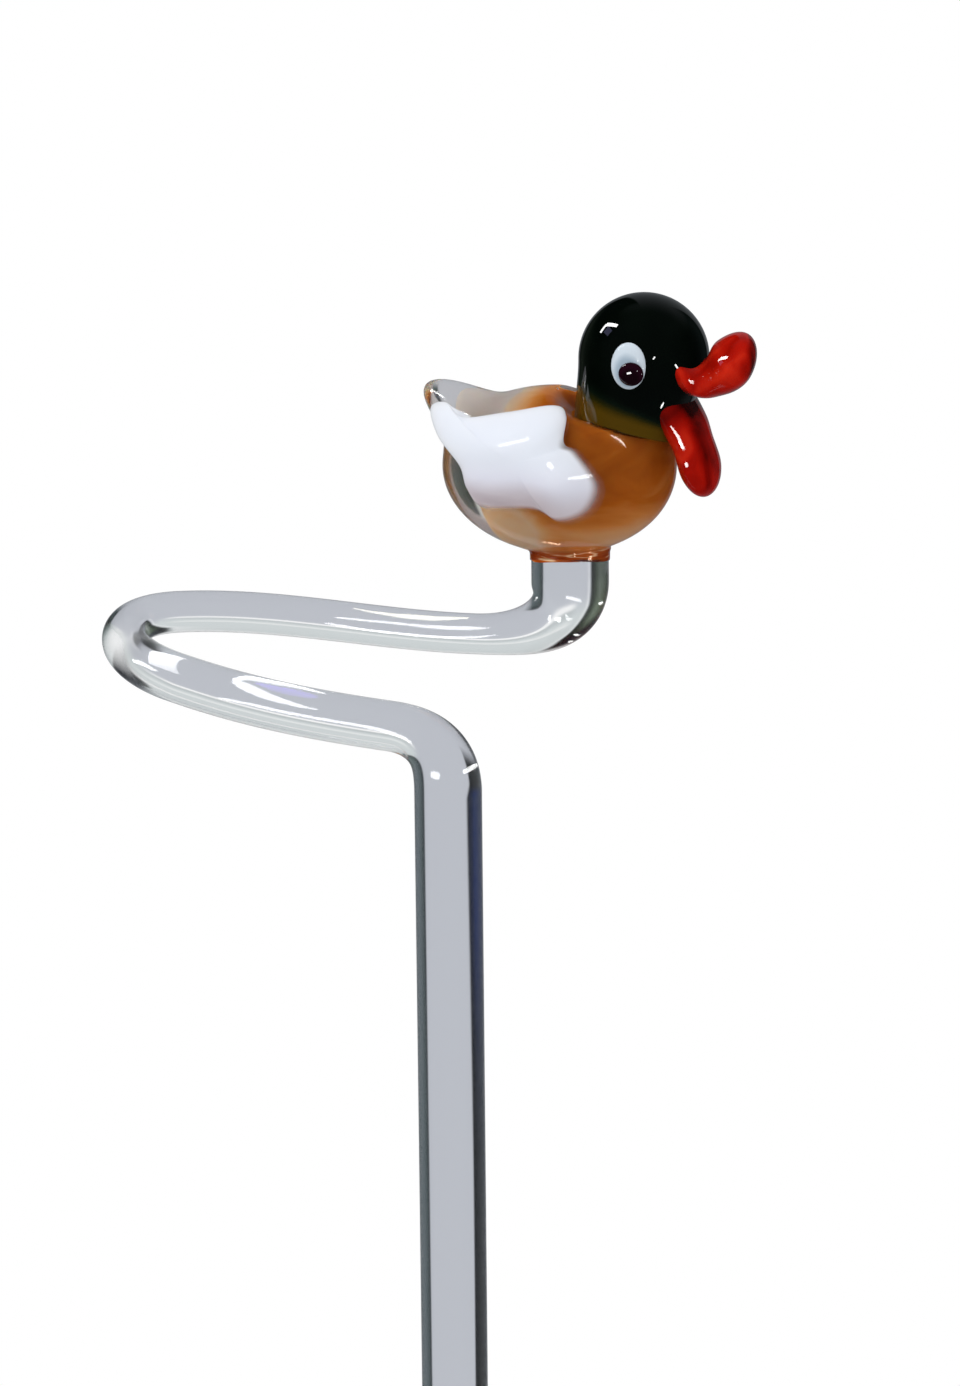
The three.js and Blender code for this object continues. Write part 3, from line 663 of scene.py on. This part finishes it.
def makeHead():
    radius = duck["headRadius"]
    turns = around(160)
    seamX, seamY = seat["middle"][0] + head["neckRadius"] * np.cos(turns), head["neckRadius"] * np.sin(turns)
    seamDrop = headCentre[2] - seamHeight(seamX, seamY) + head["set"]
    below = steps(100, 1, 0)[:-1, None] * seamDrop
    above = -radius * np.sin(steps(110, 0, np.pi / 2)[:-1, None]) * np.ones(len(turns))
    drop = np.concatenate([below, above])
    narrow = radius + (head["neckRadius"] - radius) * smoothStep(drop, 0, head["neckDrop"])
    size = np.where(drop > 0, narrow, np.sqrt(np.maximum(radius ** 2 - np.minimum(drop, 0) ** 2, 0)))
    shift = -head["neckShift"] * smoothStep(drop, 0, head["skirtDrop"])
    rings = headCentre + np.stack([shift + size * np.cos(turns), size * np.sin(turns), -drop], -1)
    ahead = (rings[..., 0] - headCentre[0]) / radius
    fade = np.maximum(head["oliveLeast"], head["oliveSide"] - head["oliveLoss"] * ahead)  # mm above the seam
    skirt = 1 - smoothStep(rings[..., 2] - seamHeight(rings[..., 0], rings[..., 1]), 0.15 * fade, fade)
    tips = [rings[0].mean(0), headCentre + [0, 0, radius]]
    closedSkin("head", setDuck(rings), setDuck(tips), greenMaterial, "green_glass", ["head"],
               {"skirt": skirt})


makeHead()

# eyes: flattened balls that face out from the head's centre
eyes = {"white": {"side": 83.0, "up": 2.5, "size": (3.7, 4.9, 1.8), "proud": -0.3},
        "pupil": {"side": 79.4, "up": -3.2, "size": (2.65, 2.5, 1.2), "proud": 0.55}}


def makeEye(name, values, hand, material, slotName, node):
    side, up = math.radians(values["side"]), math.radians(values["up"])
    out = np.array([math.cos(up) * math.cos(side), hand * math.cos(up) * math.sin(side), math.sin(up)])
    along = unit(np.cross([0, 0, 1], out))
    axes = np.stack([along, np.cross(out, along), out])
    middle = headCentre + out * (duck["headRadius"] + values["proud"])
    half = np.array(values["size"]) / 2
    ways = ballWays(60, 90)
    rings = middle + (ways * half) @ axes
    edge = smoothStep(np.hypot(ways[..., 0], ways[..., 1] + 0.25), 0.45, 1.1)  # paler at the rim, most below
    tips = middle + np.array([-out, out]) * half[2]
    closedSkin(name, setDuck(rings), setDuck(tips), material, slotName, [node], {"edge": edge})


for label, hand in (("right", -1), ("left", 1)):
    makeEye("eyeWhite_" + label, eyes["white"], hand, eyeMaterial, "eye_opal", "eye_white_" + label)
    makeEye("pupil_" + label, eyes["pupil"], hand, pupilMaterial, "pupil_glass", "pupil_" + label)

# bill lobes: a superellipse carried along a bent line, its width and thickness eased from stop to stop,
# rounded off at its tip
# a bill's shade and side give how much painted shade it carries where it leaves the head and on its right
bills = {
    "upperBill": {
        "line": [(0.66, -0.24), (1.24, -0.44), (1.68, 0.44)], "turn": (-20, 24), "full": 2.0, "ending": 0.62,
        "stops": [(0, 9.4, 3.6), (0.22, 9.4, 3.7), (0.42, 6.8, 4.0), (0.75, 8.8, 5.0), (1, 8.8, 5.0)],
        "shade": 0.0, "side": 0.55},
    "lowerBill": {
        "line": [(0.45, -0.62), (0.86, -1.2), (1.02, -2.08)], "turn": (0, 0), "full": 2.1, "ending": 0.64,
        "stops": [(0, 8.4, 3.8), (0.3, 8.2, 3.9), (0.52, 7.0, 3.8), (0.8, 7.8, 3.8), (1, 7.8, 3.8)],
        "shade": 0.7, "side": 0.5}}


# value at t between stops, with a level run at each stop
def eased(t, stops, column):
    places, values = np.array([stop[0] for stop in stops]), np.array([stop[column] for stop in stops])
    low = np.clip(np.searchsorted(places, t, side="right") - 1, 0, len(places) - 2)
    share = smoothStep(t, places[low], places[low + 1])
    return values[low] + (values[low + 1] - values[low]) * share


def makeBill(name, values, node):
    line = [headCentre + duck["headRadius"] * np.array([x, 0, z]) for x, z in values["line"]]
    t = np.sin(steps(140, 0, np.pi / 2))[:-1]
    middle, way = bezier(line, t)
    last = values["ending"]
    ending = np.sqrt(np.maximum(0, 1 - np.maximum(0, (t - last) / (1 - last)) ** 2.2))
    width, thickness = (ending * eased(t, values["stops"], column) / 2 for column in (1, 2))
    turns = around(120)
    side = np.array([0.0, 1, 0])
    over = -np.cross(side, way)
    firstTurn, lastTurn = values["turn"]
    roll = np.radians(firstTurn + (lastTurn - firstTurn) * smoothStep(t, 0, 0.6))[:, None]
    side, up = side * np.cos(roll) + over * np.sin(roll), over * np.cos(roll) - side * np.sin(roll)
    power = 2 / values["full"]
    across = width[:, None] * np.sign(np.cos(turns)) * np.abs(np.cos(turns)) ** power
    rise = thickness[:, None] * np.sign(np.sin(turns)) * np.abs(np.sin(turns)) ** power
    rings = middle[:, None] + across[..., None] * side[:, None] + rise[..., None] * up[:, None]
    facing = (unit(rings - middle[:, None]) @ duckAxes)[..., 0]
    # painted shade where the bill leaves the head, and on its right side, turned away from the light
    shade = values["shade"] * (1 - smoothStep(t, 0.12, 0.42))[:, None]  # dark where it leaves the head
    shade = shade + values["side"] * smoothStep(facing, -0.1, 0.4)  # and on its right
    piece = closedSkin(name, setDuck(rings), setDuck([line[0], line[2]]), redMaterial, "red_glass", [node],
                       {"shade": shade})
    piece.visible_glossy = False  # the head stays black beside it


makeBill("upperBill", bills["upperBill"], "upper_bill")
makeBill("lowerBill", bills["lowerBill"], "lower_bill")

# wings: outline in parts of the body's half length and height, domed outwards over the body's side,
# with a Gaussian swelling for each lobe
wings = {"outline": [(-1, 0.74), (-0.85, 0.82), (-0.64, 0.7), (-0.24, 0.8), (0.15, 0.9), (0.28, 0.8),
                     (0.31, 0.5), (0.46, 0.4), (0.65, 0.02), (0.56, -0.33), (0.31, -0.47), (0.1, -0.32),
                     (-0.37, -0.34), (-0.52, -0.08), (-0.6, 0.17), (-0.86, 0.46)],
         "middle": (-0.06, 0.28), "dome": 0.9, "root": 1.9, "lift": 0.35, "leftDrop": 1.0, "rows": (70, 24),
         "bowOut": 1.08, "bowCurve": (0.345, 0.437), "bowMiddle": (-0.06, -0.09),
         "lobes": [((-0.22, 0.52), (0.34, 0.26), 0.75), ((0.36, 0.0), (0.22, 0.26), 0.75),
                   ((-0.25, -0.12), (0.22, 0.20), 0.35)]}


# closed Catmull-Rom line through the outline's points
def smoothOutline(points, between):
    points = np.asarray(points, float)
    before, after, far = np.roll(points, 1, 0), np.roll(points, -1, 0), np.roll(points, -2, 0)
    t = steps(between + 1)[:-1][None, :, None]
    before, points, after, far = (p[:, None] for p in (before, points, after, far))
    curve = 0.5 * (2 * points + (after - before) * t + (2 * before - 5 * points + 4 * after - far) * t ** 2
                   + (3 * points - before - 3 * after + far) * t ** 3)
    return curve.reshape(-1, 2)


def makeWing(name, hand, drop, node):
    edge = smoothOutline(wings["outline"], 16)
    middle = np.array(wings["middle"])
    outRows, inRows = wings["rows"]
    outer, inner = np.sin(steps(outRows, 0.02, np.pi / 2)), steps(inRows, 1, 0.02)[1:]
    size = np.concatenate([outer, inner])
    flat = middle + size[:, None, None] * (edge - middle)
    x, z = flat[..., 0], flat[..., 1]
    lobes = sum(height * np.exp(-((x - at[0]) / spread[0]) ** 2 - ((z - at[1]) / spread[1]) ** 2)
                for at, spread, height in wings["lobes"])
    soft = smoothStep(x - 0.9 * z, -0.5, 0.1)  # front and lower edges melt into the body and run out thin
    share, melt = outer[:, None], soft[:outRows]
    domed = wings["dome"] * ((1 - melt) * np.sqrt(np.maximum(0, 1 - share ** 3)) + melt * (1 - share ** 2))
    sunk = -wings["root"] * smoothStep(1 - inner, 0, 0.3)[:, None] * np.ones(len(edge))
    out = np.concatenate([domed, sunk]) + lobes * (1 - size ** 3)[:, None]
    z = z - drop / bodyHalf[2]
    away = (np.stack([x, z], -1) - wings["bowMiddle"]) ** 2 @ np.array(wings["bowCurve"])
    bow = bodyHalf[1] * (wings["bowOut"] - away)
    skin = bodyHalf[1] * np.sqrt(np.maximum(0.1, 1 - x ** 2 - z ** 2)) + wings["lift"]
    bow = bow + (skin - bow) * soft * smoothStep(size, 0.2, 1)[:, None]
    rings = bodyCentre + np.stack([x * bodyHalf[0], hand * (bow + out), z * bodyHalf[2]], -1)
    # greyer low down and less so on the front lobe: partly thinner opal over the amber, partly painted shade
    low = smoothStep(0.4 - flat[..., 1], 0.0, 0.8) * (1 - 0.35 * smoothStep(flat[..., 0], 0.0, 0.4))
    clear = np.concatenate([smoothStep(outer, 0.74, 1.0), smoothStep(inner, 0.2, 0.7)])  # back clear sooner
    rim = clear[:, None] * soft
    tips = np.stack([rings[0].mean(0), rings[-1].mean(0)])
    closedSkin(name, setDuck(rings), setDuck(tips), opalMaterial, "opal_glass", [node],
               {"rim": rim, "low": low})


makeWing("wingRight", -1, 0.0, "wing_right")
makeWing("wingLeft", 1, wings["leftDrop"], "wing_left")

# highlights by piece: the lamps' distance in mm, their glow, and the spots that a stroke runs through, in mm
# right and up of the picture's middle, with its width there
highlights = {
    "stakeRod": {
        "forkHigh": (6, 0.65, [(-25.7, 1.25, 0.5), (-25, 1.5, 0.5), (-24, 1.55, 0.48),
            (-22, 1.15, 0.42), (-20, 0.79, 0.36), (-18, 0.38, 0.26), (-16.2, -0.06, 0.1)]),
        "forkLow": (6, 0.65, [(-25.7, 1.25, 0.5), (-25, 0.85, 0.75), (-24, 0.42, 0.95),
            (-22.8, -0.1, 0.85), (-21.6, -0.55, 0.7), (-20, -1.03, 0.46), (-18.6, -1.42, 0.3),
            (-17.1, -1.72, 0.1)]),
        "forkFill": (6.7, 0.25, [(-23.4, 1.05, 0.25), (-21.6, 0.5, 0.6), (-19.8, 0.1, 0.75),
            (-18, -0.25, 0.6), (-17, -0.45, 0.3)]),
        "nearLine": (6, 0.65, [(-27.27, -0.52, 0.12), (-25.08, -0.94, 0.26),
            (-22.78, -1.46, 0.29), (-20.37, -2.02, 0.29), (-17.76, -2.51, 0.29), (-15.15, -2.96, 0.29),
            (-12.54, -3.41, 0.29), (-10.45, -3.83, 0.35), (-8.78, -4.34, 0.39), (-7.73, -4.81, 0.32),
            (-7.21, -5.17, 0.15)]),
        "turnPatch": (5, 0.65, [(-34.32, 3.7, 1.45), (-33.43, 3.42, 1.6), (-32.39, 3.1, 1.75),
            (-31.55, 2.84, 1.8), (-31.08, 2.7, 1.75)]),
        "turnCurl": (5, 0.65, [(-36.26, 3.34, 0.32), (-35.63, 3.24, 0.46), (-34.79, 2.82, 0.39),
            (-33.85, 2.3, 0.15)]),
        "farTop": (6, 0.65, [(-13.16, 8.83, 0.1), (-11.28, 8.46, 0.2), (-9.19, 8.15, 0.33),
            (-7.1, 7.94, 0.52), (-5.02, 7.78, 0.49), (-2.93, 7.78, 0.35), (-1.25, 7.84, 0.13)]),
        "farMiddle": (6, 0.65, [(-15.05, 7.92, 0.11), (-13.37, 7.73, 0.23), (-11.28, 7.52, 0.23),
            (-9.19, 7.33, 0.23), (-7.1, 7.1, 0.28), (-5.02, 6.9, 0.34), (-2.93, 6.79, 0.42),
            (-1.04, 6.76, 0.42), (0.63, 6.79, 0.18)]),
        "farLow": (6, 0.65, [(-16.3, 7.36, 0.11), (-14.63, 7.05, 0.24), (-12.54, 6.69, 0.24),
            (-10.45, 6.43, 0.24), (-8.36, 6.21, 0.24), (-6.27, 6, 0.24), (-4.18, 5.85, 0.24),
            (-1.88, 5.79, 0.24), (0, 5.87, 0.21), (1.46, 6.02, 0.11)]),
        "elbowDot": (4, 0.65, [(-5.17, -8.38, 0.4), (-4.91, -8.48, 0.72), (-4.49, -8.65, 0.72),
            (-4.23, -8.76, 0.4)]),
        "elbowDash": (4, 0.85, [(-1.78, -8.31, 0.26), (-1.25, -8.05, 0.5), (-0.73, -7.76, 0.5),
            (-0.31, -7.49, 0.26)]),
        "riserDash": (6, 0.65, [(8.99, 10.05, 0.25), (9.4, 9.89, 0.35), (10.03, 9.77, 0.35),
            (10.55, 9.66, 0.23)]),
        "riserDrop": (2, 0.65, [(7.29, 8.15, 0.16), (7.31, 7.84, 0.3), (7.21, 7.47, 0.2)]),
        "riserPatch": (2, 0.65, [(7.85, 7.72, 0.25), (8.1, 7.72, 0.55), (8.45, 7.6, 0.4)]),
        "riserHook": (4, 0.6, [(8.99, 8.15, 0.12), (9.09, 7.78, 0.2), (9.3, 7.63, 0.2),
            (9.61, 7.84, 0.12)]),
        "riserGlint": (4, 1.1, [(12.43, 9.3, 0.16), (12.64, 9.4, 0.26), (12.85, 9.49, 0.16)]),
        "bendGlint": (4, 1.1, [(9.77, 6.11, 0.1), (10.08, 6.06, 0.22), (10.4, 6.02, 0.1)]),
        "bendDot": (4, 1.1, [(9.19, 5.33, 0.09), (9.46, 5.38, 0.15), (9.72, 5.45, 0.09)]),
        "cornerDot": (2, 1, [(5.85, 9.93, 0.1), (6.06, 9.98, 0.1)])},
    "wingRight": {
        "wingDrop": (4, 0.4, [(7.05, 24.05, 0.3), (7.31, 23.79, 0.6), (7.57, 23.42, 0.36)]),
        "wingStreak": (8, 0.45, [(9.1, 22.38, 0.12), (10.03, 22.46, 0.34), (10.97, 22.59, 0.42),
            (11.7, 22.75, 0.36), (12.5, 23.0, 0.12)])},
    "clearCasing": {
        "breastDash": (6, 0.95, [(13.69, 26.96, 0.1), (14.31, 26.59, 0.23), (14.84, 26.23, 0.23),
            (15.2, 25.86, 0.1)]),
        "footDash": (4, 1.1, [(6.58, 15.78, 0.04), (7.42, 15.65, 0.08), (8.46, 15.51, 0.08),
            (9.51, 15.36, 0.04)]),
        "footSpark": (3, 0.95, [(9.77, 14.47, 0.21), (9.98, 14.47, 0.21)]),
        "footGleam": (3, 0.8, [(11.34, 14.31, 0.16), (11.65, 14.24, 0.21)])},
    "head.001": {
        "headDash": (6, 1.1, [(18.89, 29.75, 0.08), (19.02, 30.04, 0.19), (19.2, 30.34, 0.08)])},
    "upperBill": {
        "billCurl": (4, 0.85, [(21.78, 32.7, 0.13), (21.97, 32.6, 0.16), (22.07, 32.34, 0.1)]),
        "billSheen": (4, 0.5, [(24.19, 34.58, 0.13), (24.4, 34.9, 0.21), (24.61, 35.14, 0.15)])},
    "lowerBill": {
        "billStreak": (2, 1, [(19.9, 27.9, 0.1), (20.32, 27.37, 0.24), (20.74, 26.7, 0.32),
            (21, 26.02, 0.32), (21.17, 25.49, 0.16)]),
        "billDrop": (2, 1, [(21.49, 24.08, 0.26), (21.58, 23.82, 0.36), (21.63, 23.61, 0.26)])}}
strokeTints = {"forkFill": "8060F0", "farTop": "FFFBE4", "breastDash": "FFF4E0", "footDash": "FFD0A8",
               "footSpark": "FFF0D0", "footGleam": "FFD8B8"}  # the others are white
strokeSets = {"stakeRod": "rod", "wingRight": "wing", "clearCasing": "casing", "head.001": "face",
              "upperBill": "bill", "lowerBill": "bill"}
lampLaying = {"run": 0.3, "thinnest": 0.005, "beam": 1.6, "headOn": 0.04}  # mm, mm, breadths, share mirrored


# a piece's mesh, its triangles and a tree to cast rays on them
def castingOn(pieceName):
    mesh = bpy.data.objects[pieceName].data
    mesh.calc_loop_triangles()
    corners = [tuple(triangle.vertices) for triangle in mesh.loop_triangles]
    return mesh, corners, BVHTree.FromPolygons([vertex.co for vertex in mesh.vertices], corners)


# camera's ray through a place of the picture, in mm right and up: where it meets the piece, where its
# mirrored ray ends, and the glow that shows as asked there
def mirrorRay(casting, x, y, distance, glow):
    mesh, corners, tree = casting
    ray = (rightWay * x + upWay * y - backWay * view["distance"]).normalized()
    at, _, face, _ = tree.ray_cast(camera.matrix_world.translation, ray)
    if at is None:  # past the outline
        return None
    here = [mesh.vertices[corner] for corner in corners[face]]
    weights = poly_3d_calc([vertex.co for vertex in here], at)
    normal = sum((vertex.normal * weight for vertex, weight in zip(here, weights)), Vector()).normalized()
    facing = -ray.dot(normal)
    headOn = lampLaying["headOn"]
    sentBack = headOn + (1 - headOn) * (1 - facing) ** 5  # more at a glancing angle
    return at, at + (ray + 2 * facing * normal) * distance * mm, glow / sentBack


# lamps laid side by side where the rays at a stroke's two edges end
def addStroke(name, casting, lampSet, distance, glow, spots):
    reach = np.linalg.norm(np.diff(np.array(spots)[:, :2], axis=0), axis=1).sum()
    count = max(2 * len(spots) - 1, round(reach / lampLaying["run"]))
    share = steps(count, 0, len(spots) - 1)
    right, up, wide = (np.interp(share, np.arange(len(spots)), column) for column in np.array(spots).T)
    slope = unit(np.stack([np.gradient(right), np.gradient(up)], -1)) * wide[:, None] / 2
    marks = []
    for sign in (1, -1):
        for x, y in zip(right - sign * slope[:, 1], up + sign * slope[:, 0]):
            marks.append(mirrorRay(casting, x, y, distance, glow) or marks[-1])
    for i in range(count - 1):
        at, end, glows = zip(*(marks[n] for n in (i, i + 1, i + count, i + 1 + count)))
        # a lamp lies along the longer of its two middle lines, as wide as the other one reaches square to it
        middleLines = (end[1] + end[3] - end[0] - end[2]) / 2, (end[0] + end[1] - end[2] - end[3]) / 2
        short, edge = sorted(middleLines, key=lambda line: line.length)
        thick = (short - short.project(edge)).length
        if thick > lampLaying["thinnest"] * mm:
            spread = (edge.length + thick + (at[1] - at[2]).length) / 2
            half = math.atan(lampLaying["beam"] * spread / (distance * mm))
            layLamp(name, sum(end, Vector()) / 4, edge, thick, sum(at, Vector()) / 4, sum(glows) / 4,
                    half=half, colour=strokeTints.get(name, "FFFFFF"), only=lampSet)


bpy.context.view_layer.update()
for pieceName, strokes in highlights.items():
    casting = castingOn(pieceName)
    for label, values in strokes.items():
        addStroke(label, casting, strokeSets[pieceName], *values)
print("made highlights", len(bpy.data.lights), "lamps")
